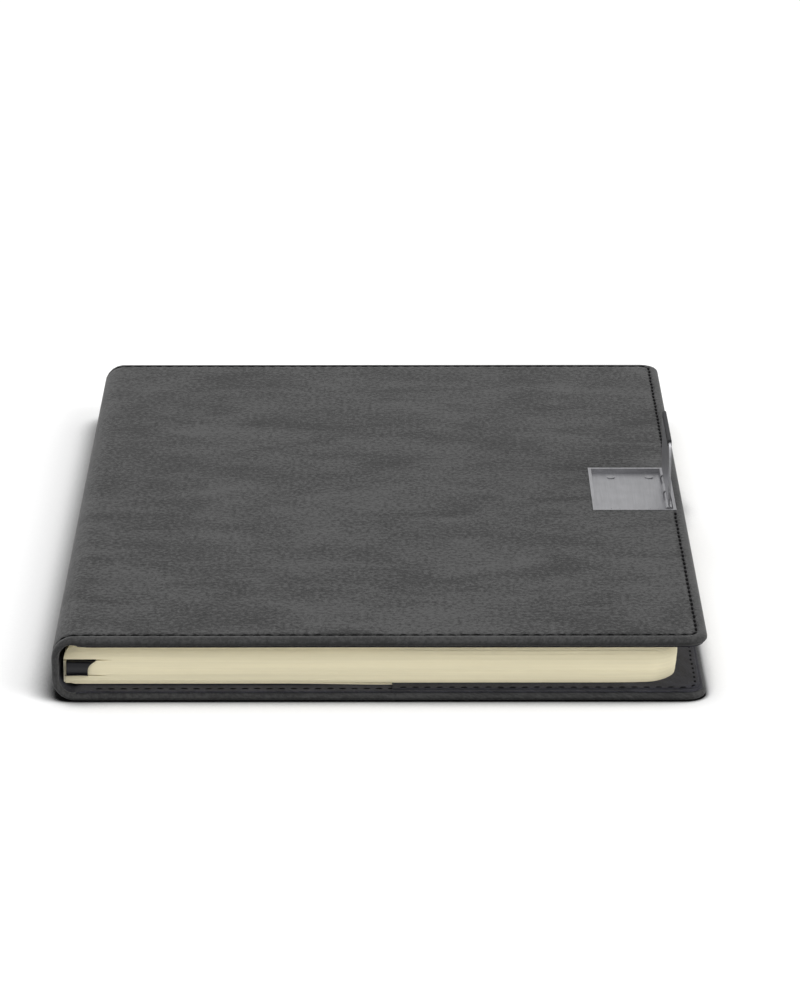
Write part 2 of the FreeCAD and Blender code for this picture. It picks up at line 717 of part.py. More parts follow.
def stand_tip():
    """Silicone edging pushed over the plate's free end."""
    body = new_body("stand_tip", HINGE_AT)
    half = size["tip_thick"] / 2
    reach = size["plate_reach"]
    straight = size["plate_half"] - size["plate_corner"]
    sketch = new_sketch(body, "XY_Plane", reach - size["tip_grip"])
    rectangle(sketch, both_ways(half), both_ways(straight))
    pad(body, sketch, size["tip_grip"] + size["tip_over"])
    recess(body, both_ways(size["plate_thick"] / 2), both_ways(straight), reach, size["tip_grip"])
    top = (reach + size["tip_over"]).value
    round_edges(body, ALONG_Y, size["tip_round"], lambda middle: middle.z > top - 0.01)


def stand_rivets():
    """Four rivets through the pan's floor and the board."""
    rivets = []
    floor = PAN_LOW + size["pan_floor"]
    for number, (x, side) in enumerate([(x, side) for x in RIVET_X for side in (-1, 1)], start=1):
        shank = doc.addObject("Part::Cylinder", f"rivet_shank_{number}")
        head = doc.addObject("Part::Cylinder", f"rivet_head_{number}")
        for cylinder, radius, low, tall in (
                (shank, size["rivet_radius"], FRONT_SKIN_LOW, floor - FRONT_SKIN_LOW),
                (head, size["rivet_head"], floor, size["rivet_proud"])):
            bind(cylinder, "Radius", radius)
            bind(cylinder, "Height", tall)
            cylinder.Placement.Base.x = x
            bind(cylinder, "Placement.Base.y", size["rivet_y"] * side)
            bind(cylinder, "Placement.Base.z", low)
        rivet = doc.addObject("Part::Fuse", f"rivet_{number}")
        rivet.Base = shank
        rivet.Tool = head
        rivets.append(rivet)
    group("stand_rivets", rivets)


def check_and_write():
    """Refuse a failed object or a bad shape, then write each node's file."""
    doc.recompute()
    for thing in doc.Objects:
        if "Invalid" in thing.State or "Error" in thing.State:
            raise RuntimeError(f"{thing.Name} failed")
    for node in nodes:
        if node.Shape.isNull() or not node.Shape.isValid():
            raise RuntimeError(f"{node.Label} has a bad shape")
    os.makedirs("parts", exist_ok=True)
    for node in nodes:
        node.Shape.exportStep(f"parts/{node.Label}.step")
        print(f"{node.Label}: {node.Shape.Volume:.2f} mm3, {len(node.Shape.Solids)} solids")


def main():
    """Build every piece, from the table up."""
    write_sheet()
    back_cover_skin()
    back_board()
    back_lining()
    back_pocket()
    insert_card("insert_back_card", BACK_INSIDE)
    leaves_lower()
    leaves_middle()
    insert_spine_card()
    bookmark_ribbon()
    leaves_front()
    spine_pieces()
    front_cover_skin()
    front_board()
    front_lining()
    front_pocket()
    insert_card("insert_front_card", FRONT_CARD_LOW)
    charger_tray()
    coil_and_shield()
    charger_board()
    charger_chips()
    flex_lead()
    port_block()
    usb_socket_shell()
    usb_socket_tongue()
    status_led()
    stand_base()
    stand_hinge_pin()
    stand_leaf()
    stand_tip()
    stand_rivets()
    check_and_write()


main()
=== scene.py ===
import math

import bmesh
import bpy
import numpy as np
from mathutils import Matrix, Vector


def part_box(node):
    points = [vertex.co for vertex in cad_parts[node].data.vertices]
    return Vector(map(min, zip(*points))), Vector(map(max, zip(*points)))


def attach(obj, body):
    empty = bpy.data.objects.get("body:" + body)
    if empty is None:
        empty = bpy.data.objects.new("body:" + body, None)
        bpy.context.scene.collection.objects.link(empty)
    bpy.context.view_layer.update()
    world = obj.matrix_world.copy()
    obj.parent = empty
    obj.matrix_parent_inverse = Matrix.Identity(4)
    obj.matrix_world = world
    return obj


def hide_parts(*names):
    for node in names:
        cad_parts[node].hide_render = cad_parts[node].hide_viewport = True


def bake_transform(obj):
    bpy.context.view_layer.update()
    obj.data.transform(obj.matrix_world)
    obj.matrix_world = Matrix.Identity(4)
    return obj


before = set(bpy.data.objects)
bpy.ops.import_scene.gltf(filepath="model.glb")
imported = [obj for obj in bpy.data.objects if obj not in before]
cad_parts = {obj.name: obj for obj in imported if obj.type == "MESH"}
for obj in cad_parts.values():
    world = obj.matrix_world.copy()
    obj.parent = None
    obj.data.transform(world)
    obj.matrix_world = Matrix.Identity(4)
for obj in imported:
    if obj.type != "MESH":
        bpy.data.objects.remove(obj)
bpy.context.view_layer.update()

bl_info = {
    "name": "Charging organiser",
    "version": (1, 0, 0),
    "blender": (4, 5, 0),
    "location": "View3D > Sidebar > Organiser",
    "description": "Builds the soft covers, paper, ribbon and finishes of a charging organiser",
    "category": "Add Mesh",
}

# Lengths are millimetres until a mesh is made, and MM turns them to metres.
MM = 0.001


def span(node):
    """Lowest and highest corner of a CAD node, in millimetres."""
    low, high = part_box(node)
    return np.array(low) / MM, np.array(high) / MM


def linear(text):
    """Turn an sRGB hex colour to linear red, green, blue and alpha."""
    parts = np.array([int(text[i:i + 2], 16) for i in (1, 3, 5)]) / 255
    shades = np.where(parts <= 0.04045, parts / 12.92, ((parts + 0.055) / 1.055) ** 2.4)
    return (*shades.tolist(), 1.0)


# ---- places read from the frame ----

FRONT_LOW, FRONT_HIGH = span("front_cover_skin")
BACK_HIGH = span("back_cover_skin")[1]
SPINE_LOW = span("spine_skin")[0]
FORE, HEAD, TOP = FRONT_HIGH
TAIL = FRONT_LOW[1]
MIDDLE = TOP / 2
BACK = SPINE_LOW[0]
SPINE_DEEP = span("spine_lining")[0][0] - BACK
FLOOR_DEEP = TOP - span("front_board")[1][2]
PAN_LOW, PAN_HIGH = span("stand_base")
MOUTH = span("front_pocket")[0][0]
# Outer radius of the bends on both sides of the spine.
BEND = 5.5
RISE = MIDDLE - BEND
FLAT_START = RISE + BEND * math.pi / 2
RUN_END = FLAT_START + FORE - (BACK + BEND)


class Cover:
    """Depths of one cover's layers below its outer face, in millimetres."""

    def __init__(self, side, upper, body):
        lining, pocket = span(f"{side}_lining"), span(f"{side}_pocket")
        self.side = side
        self.upper = upper
        self.body = body
        self.skin = f"{side}_cover_skin"
        if upper:
            self.deep = TOP - FRONT_LOW[2]
            self.lining = TOP - lining[0][2]
            self.pocket = TOP - pocket[0][2]
        else:
            self.deep = BACK_HIGH[2]
            self.lining = lining[1][2]
            self.pocket = pocket[1][2]
        self.lining_box = lining
        self.pocket_box = pocket


COVERS = (Cover("front", True, "front"), Cover("back", False, "back"))


def millimetres(label, note, value, low=0.0):
    """A length property, shown in millimetres."""
    return bpy.props.FloatProperty(name=label, description=f"{note}, in millimetres",
                                   default=value, min=low)


class OrganiserSizes(bpy.types.PropertyGroup):
    """Sizes of the soft pieces that a user may change."""

    cover_corner: millimetres("Cover corner", "Radius of the fore-edge corners", 5.0, 1.0)
    seam_inset: millimetres("Seam inset", "Seam from the cover's edge", 2.6, 1.0)
    seam_deep: millimetres("Seam groove", "How far the seam is pulled in", 0.25)
    stitch_pitch: millimetres("Stitch pitch", "One stitch to the next", 2.9, 1.0)
    stitch_length: millimetres("Stitch length", "Thread that shows in one stitch", 2.3, 0.5)
    thread_width: millimetres("Thread", "Diameter of the sewing thread", 0.8, 0.1)
    row_height: millimetres("Leaf row", "Height of one drawn row of leaf edges", 0.3, 0.1)
    leaf_corner: millimetres("Leaf corner", "Radius of the leaves' fore-edge corners", 7.0, 0.5)
    wire_width: millimetres("Coil wire", "Diameter of the coil's wire", 0.8, 0.1)


def shade(label, text):
    """A colour property whose default is an sRGB hex value."""
    return bpy.props.FloatVectorProperty(
        name=label, description=f"Base colour of the {label.lower()}", subtype="COLOR", size=4,
        min=0.0, max=1.0, default=linear(text))


class OrganiserColours(bpy.types.PropertyGroup):
    """Colours of the finishes."""

    suede: shade("Suede", "#2F2F2F")
    lining: shade("Lining", "#2A2A30")
    paper: shade("Paper", "#EEE5C5")
    card: shade("Card", "#E8E0C4")
    ribbon: shade("Ribbon", "#0E0E12")
    thread: shade("Thread", "#050506")
    board: shade("Greyboard", "#8F8C84")
    steel: shade("Steel", "#ACACAF")
    moulding: shade("Moulding", "#1B1B1D")
    mask: shade("Solder mask", "#17402A")
    copper: shade("Copper", "#C07A50")
    ferrite: shade("Ferrite", "#242426")
    silicone: shade("Silicone", "#1F1F22")
    lens: shade("Lens", "#DDE6EA")


# ---- surfaces ----

def ease(share):
    """Go from 0 to 1: three times the square less twice the cube of the clipped share."""
    share = np.clip(share, 0, 1)
    return share * share * (3 - 2 * share)


def ripple(x, y, seed, length):
    """A gentle relief of about -1 to 1: the sum of six plane waves of random heading, each near
    the given wave length, divided by three."""
    draw = np.random.default_rng(seed)
    turns = draw.uniform(0, 2 * math.pi, (6, 2))
    total = 0
    for (turn, phase), wave in zip(turns, length * draw.uniform(0.6, 1.6, 6)):
        ahead = x * math.cos(turn) + y * math.sin(turn)
        total = total + np.sin(2 * math.pi * ahead / wave + phase)
    return total / 3


REACH = 12.0
# At the middle of the spine, where the two halves meet, a rim is almost square.
SPINE_HELD = (0.02, 1, 1, 1)
CORNER_STEPS = 8


def half_corner(radius):
    """From the middle of a corner outwards: along the arc and then straight on to the reach, in
    equal steps. Returns the distance along the side and inside it."""
    arc = radius * math.pi / 4
    run = np.linspace(0, 1, CORNER_STEPS + 1) * (arc + REACH - radius)
    angle = np.clip(math.pi / 4 - run / max(radius, 1e-9), 0, math.pi / 4)
    on_arc = run < arc
    along = np.where(on_arc, radius - radius * np.sin(angle), radius + run - arc)
    return along, np.where(on_arc, radius - radius * np.cos(angle), 0)


def outline(low, high, radii, steps):
    """A rectangle with rounded corners, anticlockwise from the middle of its low corner."""
    corners = [(low[0], low[1], 1, 0), (high[0], low[1], 0, 1),
               (high[0], high[1], -1, 0), (low[0], high[1], 0, -1)]
    runs = []
    for number, (x, y, dx, dy) in enumerate(corners):
        length = abs(dx) * (high[0] - low[0]) + abs(dy) * (high[1] - low[1])
        share = np.arange(1, steps[number % 2]) / steps[number % 2]
        first, first_in = half_corner(radii[number])
        last, last_in = half_corner(radii[(number + 1) % 4])
        along = np.concatenate([first, REACH + share * (length - 2 * REACH), length - last[::-1]])
        inside = np.concatenate([first_in, 0 * share, last_in[::-1]])
        runs.append(np.stack([x + dx * along - dy * inside, y + dy * along + dx * inside], 1)[:-1])
    return np.concatenate(runs)


def ticks(low, high, steps):
    """Grid lines of a rectangle at the same places as its outline's points."""
    near = np.linspace(0, REACH, CORNER_STEPS + 1)
    middle = low + REACH + np.arange(1, steps) / steps * (high - low - 2 * REACH)
    return np.concatenate([low + near, middle, high - near[::-1]])


def quads(index):
    """The four-sided faces of a grid of vertex numbers."""
    corners = [index[:-1, :-1], index[1:, :-1], index[1:, 1:], index[:-1, 1:]]
    return np.stack(corners, 2).reshape(-1, 4)


def slab(low, high, radii, insets, shares, steps, held=(1, 1, 1, 1)):
    """A closed slab: a grid above, a grid below, and rings between them, each ring a rounded
    rectangle that lies its inset inside the edge. held says how much of the inset each of the low
    x, high x, low y and high y sides takes. Returns the place, the flat place that keeps its true
    distance over the rim, and the ring number of each vertex, and the faces."""
    steps_along = np.hypot(np.diff(insets), np.diff(shares))
    flats = insets[0] - np.concatenate([[0], np.cumsum(steps_along)])
    places, flat_places, levels = [], [], []

    def inner(inset):
        return ((low[0] + inset * held[0], low[1] + inset * held[2]),
                (high[0] - inset * held[1], high[1] - inset * held[3]))

    def grid(inset):
        (x0, y0), (x1, y1) = inner(inset)
        x, y = np.meshgrid(ticks(x0, x1, steps[0]), ticks(y0, y1, steps[1]), indexing="ij")
        return np.stack([x.ravel(), y.ravel()], 1), x.shape

    def ring(inset):
        return outline(*inner(inset), [max(radius - inset, 0) for radius in radii], steps)

    count = len(insets)
    for level, (inset, flat) in enumerate(zip(insets, flats)):
        if level in (0, count - 1):
            points, shape = grid(inset)
            flat_points = grid(flat)[0]
        else:
            points, flat_points = ring(inset), ring(flat)
        places.append(points)
        flat_places.append(flat_points)
        levels.append(np.full(len(points), level))
    index = np.arange(shape[0] * shape[1]).reshape(shape)
    edge = np.concatenate([index[:-1, 0], index[-1, :-1], index[:0:-1, -1], index[0, :0:-1]])
    size = len(edge)
    below = index.size + (count - 2) * size
    loops = [edge] + [index.size + n * size + np.arange(size) for n in range(count - 2)]
    loops.append(edge + below)
    faces = [quads(index)]
    for upper, lower in zip(loops, loops[1:]):
        faces.append(np.stack([upper, lower, np.roll(lower, -1), np.roll(upper, -1)], 1))
    faces.append(quads(index + below)[:, ::-1])
    return (np.concatenate(places), np.concatenate(flat_places), np.concatenate(levels),
            np.concatenate(faces))


def swept(path, across, section):
    """A closed section carried along a path: each point is the path's point, plus the section's
    first number times the across direction, plus its second times the direction square to both."""
    tangent = np.gradient(path, axis=0)
    tangent /= np.linalg.norm(tangent, axis=1)[:, None]
    square = np.cross(tangent, across)
    square /= np.linalg.norm(square, axis=1)[:, None]
    points = (path[:, None] + section[..., :1] * across[:, None]
              + section[..., 1:] * square[:, None])
    rows, around = points.shape[:2]
    index = np.arange(rows * around).reshape(rows, around)
    closed = np.concatenate([index, index[:, :1]], 1)
    faces = quads(closed).tolist() + [index[0, ::-1].tolist(), index[-1].tolist()]
    return points.reshape(-1, 3), faces, rows, around


def wrap(run, y, depth, upper):
    """Carry flat cover places round the spine. run is measured from the middle of the spine, up
    it, round a quarter circle and along the cover, and depth is below the outer face. The back
    cover is the front's mirror image in the middle height."""
    angle = np.clip((run - RISE) / BEND, 0, math.pi / 2)
    radius = BEND - depth
    x = BACK + BEND - radius * np.cos(angle) + np.clip(run - FLAT_START, 0, None)
    z = MIDDLE + RISE + radius * np.sin(angle) + np.clip(run - RISE, None, 0)
    return np.stack([x, y, z if upper else TOP - z], 1)


def run_of(x):
    """Distance from the middle of the spine of an x on the flat cover."""
    return FLAT_START + x - (BACK + BEND)


def make_piece(name, points, faces, flat, finish, crease=0.7, marks=None):
    """Make a mesh object from millimetres, with outward faces, a flat UV map in metres and
    shading that is smooth up to the crease angle, in radians. marks are named values at the
    points, which a finish reads."""
    mesh = bpy.data.meshes.new(name)
    mesh.from_pydata((points * MM).tolist(), [], [list(face) for face in faces])
    corner = np.empty(len(mesh.loops), dtype=np.int32)
    mesh.loops.foreach_get("vertex_index", corner)
    mesh.uv_layers.new(name="flat").data.foreach_set(
        "uv", (flat[corner] * MM).astype(np.float32).ravel())
    for mark, values in (marks or {}).items():
        mesh.attributes.new(mark, "FLOAT", "POINT").data.foreach_set(
            "value", values.astype(np.float32))
    work = bmesh.new()
    work.from_mesh(mesh)
    bmesh.ops.remove_doubles(work, verts=work.verts, dist=2e-6)
    bmesh.ops.recalc_face_normals(work, faces=work.faces)
    work.to_mesh(mesh)
    work.free()
    mesh.shade_smooth()
    mesh.set_sharp_from_angle(angle=crease)
    mesh.materials.append(finish)
    piece = bpy.data.objects.new(name, mesh)
    bpy.context.scene.collection.objects.link(piece)
    return piece


def bend_at_spine(piece, cover):
    """Bake a piece's placing into its mesh. The piece was already carried round the spine's quarter
    circle when it was made, so nothing bends here.
    """
    if cover.upper:
        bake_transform(piece)
    else:
        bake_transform(piece)


# ---- finishes ----

def plug(tree, node, inputs):
    """Set or link a node's inputs."""
    for socket, value in inputs.items():
        if isinstance(value, bpy.types.NodeSocket):
            tree.links.new(value, node.inputs[socket])
        else:
            node.inputs[socket].default_value = value


def add(tree, kind, inputs=None, **settings):
    """Add a shader node with its settings, and set or link its inputs."""
    node = tree.nodes.new(f"ShaderNode{kind}")
    for name, value in settings.items():
        setattr(node, name, value)
    plug(tree, node, inputs or {})
    return node


def new_finish(name):
    """Start a material with its shader linked to the output."""
    material = bpy.data.materials.new(name)
    material.use_nodes = True
    tree = material.node_tree
    tree.nodes.clear()
    shader = add(tree, "BsdfPrincipled")
    add(tree, "OutputMaterial", {"Surface": shader.outputs["BSDF"]})
    return material, tree, shader


def tinted(colour, factor):
    """A colour made lighter or darker."""
    return (*[min(part * factor, 1.0) for part in colour[:3]], 1.0)


def suede_nubuck(colour):
    """Brushed synthetic suede: cloudy lighter and darker patches where the nap was stroked, a fine
    grain, no gloss and a soft sheen at low angles."""
    material, tree, shader = new_finish("brushed_synthetic_suede")
    place = add(tree, "UVMap", uv_map="flat").outputs["UV"]
    drawn = add(tree, "Mapping", {"Vector": place, "Scale": (0.6, 1.1, 1)}).outputs["Vector"]
    # patches of about 28 by 15 mm, strokes of about 12 by 6 mm, nap of 1.1 mm, grain of 0.35 mm
    patch = add(tree, "TexNoise", {"Vector": drawn, "Scale": 60, "Detail": 4,
                                   "Roughness": 0.55, "Distortion": 0.8})
    stroke = add(tree, "TexNoise", {"Vector": drawn, "Scale": 140, "Detail": 5, "Roughness": 0.65})
    nap = add(tree, "TexNoise", {"Vector": place, "Scale": 900, "Detail": 3, "Roughness": 0.8})
    grain = add(tree, "TexNoise", {"Vector": place, "Scale": 2800, "Detail": 2})
    cloudy = add(tree, "Math", {0: patch.outputs[0], 1: 0.85, 2: -0.45}, operation="MULTIPLY_ADD")
    stroked = add(tree, "Math", {0: stroke.outputs[0], 1: 0.4, 2: cloudy.outputs[0]},
                  operation="MULTIPLY_ADD")
    napped = add(tree, "Math", {0: nap.outputs[0], 1: 2.3, 2: stroked.outputs[0]},
                 operation="MULTIPLY_ADD")
    spread = add(tree, "MapRange", {"Value": napped.outputs[0], "From Min": 1.13, "From Max": 1.53})
    tone = add(tree, "Mix", {0: spread.outputs[0], 6: tinted(colour, 0.3),
                             7: tinted(colour, 1.95)}, data_type="RGBA")
    # painted highlight: the rim is lightened towards 1.6 times the colour, in place of the light
    # that its rounded top catches; the skin is also stretched over the rim, so its nap shows less
    # there
    rolled = add(tree, "Attribute", attribute_name="rolled").outputs["Fac"]
    rim_highlight_share = add(tree, "Math", {0: rolled, 1: 0.55}, operation="MULTIPLY")
    rim = add(tree, "Mix", {0: rim_highlight_share.outputs[0], 6: tone.outputs[2],
                            7: tinted(colour, 1.6)}, data_type="RGBA")
    # painted shade: the seam's groove is darkened, partly for its flattened nap and partly as the
    # shade that falls in it, and the part of the rim that is turned under is darkened as the shade
    # it lies in
    pressed_and_shaded = add(tree, "Attribute", attribute_name="pressed_and_shaded").outputs["Fac"]
    seam = add(tree, "Mix", {0: pressed_and_shaded, 6: rim.outputs[2], 7: tinted(colour, 0.12)},
               data_type="RGBA")
    relief = add(tree, "Math", {0: nap.outputs[0], 1: 1.5, 2: grain.outputs[0]},
                 operation="MULTIPLY_ADD")
    bump = add(tree, "Bump", {"Height": relief.outputs[0], "Strength": 0.5, "Distance": 0.00015})
    plug(tree, shader, {"Base Color": seam.outputs[2], "Normal": bump.outputs[0], "Roughness": 0.92,
                        "Specular IOR Level": 0.2, "Sheen Weight": 0.2, "Sheen Roughness": 0.4})
    return material


def microfibre_lining(colour):
    """Microfibre suede on the insides: darker than the cover, with the same fine nap, small soft
    patches and no gloss."""
    material, tree, shader = new_finish("microfibre_lining")
    place = add(tree, "UVMap", uv_map="flat").outputs["UV"]
    # patches of about 8 mm and nap of 0.8 mm
    patch = add(tree, "TexNoise", {"Vector": place, "Scale": 130, "Detail": 4})
    nap = add(tree, "TexNoise", {"Vector": place, "Scale": 1300, "Detail": 3, "Roughness": 0.8})
    both = add(tree, "Math", {0: patch.outputs[0], 1: 0.6, 2: nap.outputs[0]},
               operation="MULTIPLY_ADD")
    spread = add(tree, "MapRange", {"Value": both.outputs[0], "From Min": 0.55, "From Max": 1.05})
    tone = add(tree, "Mix", {0: spread.outputs[0], 6: tinted(colour, 0.3),
                             7: tinted(colour, 1.8)}, data_type="RGBA")
    bump = add(tree, "Bump", {"Height": nap.outputs[0], "Strength": 0.6, "Distance": 0.0001})
    plug(tree, shader, {"Base Color": tone.outputs[2], "Normal": bump.outputs[0], "Roughness": 0.9,
                        "Specular IOR Level": 0.2, "Sheen Weight": 0.15, "Sheen Roughness": 0.4})
    return material


def leaf_edges(colour):
    """Uncoated cream paper seen at its cut edges: fine level lines of slightly different tone,
    matt. Each leaf is 0.1 mm, and the lines are drawn about 0.3 mm apart so that they show."""
    material, tree, shader = new_finish("cut_cream_paper")
    place = add(tree, "TexCoord").outputs["Object"]
    rows = add(tree, "Mapping", {"Vector": place, "Scale": (14, 14, 2600)})
    line = add(tree, "TexNoise", {"Vector": rows.outputs["Vector"], "Scale": 1,
                                  "Detail": 3, "Roughness": 0.6})
    broad = add(tree, "Mapping", {"Vector": place, "Scale": (18, 18, 420)})
    band = add(tree, "TexNoise", {"Vector": broad.outputs["Vector"], "Scale": 1, "Detail": 2})
    tooth = add(tree, "TexNoise", {"Vector": place, "Scale": 1800, "Detail": 2})
    both = add(tree, "Math", {0: line.outputs[0], 1: 0.65, 2: band.outputs[0]},
               operation="MULTIPLY_ADD")
    spread = add(tree, "MapRange", {"Value": both.outputs[0], "From Min": 0.5, "From Max": 1.15})
    tone = add(tree, "Mix", {0: spread.outputs[0], 6: tinted(colour, 0.92),
                             7: tinted(colour, 1.04)}, data_type="RGBA")
    bump = add(tree, "Bump", {"Height": tooth.outputs[0], "Strength": 0.15, "Distance": 0.00005})
    plug(tree, shader, {"Base Color": tone.outputs[2], "Normal": bump.outputs[0], "Roughness": 0.9,
                        "Specular IOR Level": 0.2})
    return material


def speckled(name, colour, low, high, scale, roughness, bumped, metallic=0.0, stretch=(1, 1, 1),
             specular=0.5):
    """A finish whose tone and relief follow a noise of the given scale, stretched along an axis
    where its maker brushed or rolled it. Each caller says what it stands for."""
    material, tree, shader = new_finish(name)
    place = add(tree, "TexCoord").outputs["Object"]
    drawn = add(tree, "Mapping", {"Vector": place, "Scale": stretch}).outputs["Vector"]
    fine = add(tree, "TexNoise", {"Vector": drawn, "Scale": scale, "Detail": 4, "Roughness": 0.65})
    broad = add(tree, "TexNoise", {"Vector": place, "Scale": scale / 14, "Detail": 3})
    both = add(tree, "Math", {0: broad.outputs[0], 1: 0.5, 2: fine.outputs[0]},
               operation="MULTIPLY_ADD")
    spread = add(tree, "MapRange", {"Value": both.outputs[0], "From Min": 0.45, "From Max": 1.05})
    tone = add(tree, "Mix", {0: spread.outputs[0], 6: tinted(colour, low),
                             7: tinted(colour, high)}, data_type="RGBA")
    gloss = add(tree, "MapRange", {"Value": fine.outputs[0], "To Min": roughness - 0.08,
                                   "To Max": roughness + 0.08})
    bump = add(tree, "Bump", {"Height": fine.outputs[0], "Strength": bumped, "Distance": 0.0001})
    plug(tree, shader, {"Base Color": tone.outputs[2], "Roughness": gloss.outputs[0],
                        "Normal": bump.outputs[0], "Metallic": metallic,
                        "Specular IOR Level": specular})
    return material


def satin_ribbon(colour):
    """Black polyester satin: threads along its length, and a soft bright band across its bend."""
    material, tree, shader = new_finish("polyester_satin_ribbon")
    place = add(tree, "UVMap", uv_map="flat").outputs["UV"]
    # the real threads are 0.1 mm apart, and are drawn 0.25 mm apart
    drawn = add(tree, "Mapping", {"Vector": place, "Scale": (4000, 160, 1)})
    thread = add(tree, "TexNoise", {"Vector": drawn.outputs["Vector"], "Scale": 1, "Detail": 2})
    tone = add(tree, "Mix", {0: thread.outputs[0], 6: tinted(colour, 0.6),
                             7: tinted(colour, 1.7)}, data_type="RGBA")
    bump = add(tree, "Bump", {"Height": thread.outputs[0], "Strength": 0.25, "Distance": 0.00005})
    plug(tree, shader, {"Base Color": tone.outputs[2], "Normal": bump.outputs[0], "Roughness": 0.34,
                        "Specular IOR Level": 0.36, "Anisotropic": 0.5})
    return material


# What makes each finish from the colours, and what it stands for.
MAKERS = {
    "suede": lambda c: suede_nubuck(c.suede),
    "lining": lambda c: microfibre_lining(c.lining),
    "paper": lambda c: leaf_edges(c.paper),
    "ribbon": lambda c: satin_ribbon(c.ribbon),
    # smooth cream card with short fibres in it
    "card": lambda c: speckled("cream_card", c.card, 0.93, 1.05, 900, 0.8, 0.2),
    # twisted polyester thread: black, with almost no gloss
    "thread": lambda c: speckled("bonded_sewing_thread", c.thread, 0.6, 1.6, 5000, 0.8, 0.4,
                                 specular=0.08),
    # recycled greyboard: pale flecks in a felted grey
    "board": lambda c: speckled("greyboard", c.board, 0.75, 1.2, 1300, 0.9, 0.3),
    # stainless sheet brushed along the hinge: fine level scratches that spread its highlights
    "steel": lambda c: speckled("brushed_stainless_steel", c.steel, 0.8, 1.1, 3000, 0.38, 0.1,
                                metallic=1.0, stretch=(1, 0.03, 1)),
    # moulded plastic from a spark-eroded tool: fine even pits, low gloss
    "moulding": lambda c: speckled("spark_textured_abs", c.moulding, 0.8, 1.2, 2600, 0.5, 0.3),
    # solder mask over etched copper: glossy green, a little darker where no copper lies under it
    "mask": lambda c: speckled("green_solder_mask", c.mask, 0.7, 1.4, 700, 0.3, 0.1),
    # drawn copper under clear enamel
    "copper": lambda c: speckled("enamelled_copper_wire", c.copper, 0.8, 1.1, 1500, 0.28, 0.05,
                                 metallic=1.0),
    # pressed and fired ferrite: dull dark grey with fine bright specks
    "ferrite": lambda c: speckled("sintered_ferrite", c.ferrite, 0.7, 1.6, 3500, 0.55, 0.2),
    # liquid silicone rubber: smooth, matt, slightly dusty
    "silicone": lambda c: speckled("moulded_silicone", c.silicone, 0.85, 1.3, 1200, 0.75, 0.1),
    # clear acrylic with a frosted face
    "lens": lambda c: speckled("clear_acrylic", c.lens, 0.92, 1.0, 900, 0.3, 0.05),
    # black moulding compound of the chips
    "chips": lambda c: speckled("epoxy_chip_package", c.moulding, 0.7, 1.3, 4000, 0.6, 0.2),
}
FINISHES = {}


def finish(name):
    """One of the finishes above, made the first time it is wanted."""
    if name not in FINISHES:
        FINISHES[name] = MAKERS[name](bpy.context.scene.organiser_colours)
    return FINISHES[name]


# ---- covers ----

# Outer section of the rolled rim: how far inside the edge, and how deep as a share of the cover.
# Past the seam it is half an ellipse.
RIM_TURN = np.linspace(0, math.pi, 14)
RIM = [(7.0, 0), (5.2, 0), (4.3, 0), (3.2, 0), (2.85, 0), (2.6, 0), (2.35, 0), (1.9, -0.01)]
RIM += np.stack([1.4 * (1 - np.sin(RIM_TURN)), (1 - np.cos(RIM_TURN)) / 2], 1).tolist()
# How much of the seam's groove each of the rim's rings takes.
SEAM_RINGS = {4: 0.55, 5: 1.0, 6: 0.55}
# The spine's ends are hemmed this much thicker than the spine's skin.
HEM = 0.6
# The roll of the rim lies within this of the edge.
ROLL = 1.8


def cover_skin(cover, sizes):
    """Suede of one cover and half the spine: a flat tray whose rim rolls over the board, grooved
    along its seam and carried round the spine. On the spine it is thin, with a hemmed end."""
    floor = FLOOR_DEEP / cover.deep
    rim = RIM + [(1.5, 0.97), (1.5, (1 + floor) / 2), (1.6, floor + 0.02), (3.0, floor),
                 (7.0, floor)]
    insets, shares = np.array(rim).T
    corner = sizes.cover_corner
    place, flat, level, faces = slab((0, TAIL), (RUN_END, HEAD), (0, corner, corner, 0), insets,
                                     shares * cover.deep, (72, 96), held=SPINE_HELD)
    run, y = place.T
    on_flat = ease((run - FLAT_START + 2) / 3)
    hem = SPINE_DEEP + HEM
    inner = level > len(RIM)
    on_spine = np.where(inner, SPINE_DEEP, np.clip(shares[level], -0.01, 1) * hem)
    depth = on_flat * shares[level] * cover.deep + (1 - on_flat) * on_spine
    groove = np.array([SEAM_RINGS.get(number, 0) for number in range(len(rim))])[level]
    depth = depth + groove * sizes.seam_deep * ease(run / 3)
    edge = np.minimum(RUN_END - run, np.minimum(y - TAIL, HEAD - y))
    # the skin isn't quite flat on its board, away from its edges
    relief = 0.05 * ripple(run, y, 11 if cover.upper else 12, 60)
    relief = relief * ease((edge - 2) / 8) * ease((run - FLAT_START) / 8) * (level < 8)
    depth = depth - relief
    flat = flat * (1 if cover.upper else -1, 1)
    if not cover.upper:
        depth = np.maximum(depth, 0)
    # painted shade: the seam's groove is drawn almost black, partly for its flattened nap and
    # partly as shade, and the rim is darkened towards the floor as the shade it turns into
    low_side = shares[level] if cover.upper else 1 - shares[level]
    rolled = 1.0 * (insets[level] < ROLL)
    pressed_and_shaded = np.maximum(groove * ease((run - RISE) / 3),
                         rolled * ease((low_side - 0.2) / 0.7) * ease((run - RISE) / 6)
                         * (0.85 if cover.upper else 0.35))
    piece = make_piece(f"{cover.side}_suede", wrap(run, y, depth, cover.upper), faces, flat,
                       finish("suede"),
                       marks={"pressed_and_shaded": pressed_and_shaded, "rolled": rolled})
    if cover.upper:
        cut_window(piece)
    return piece


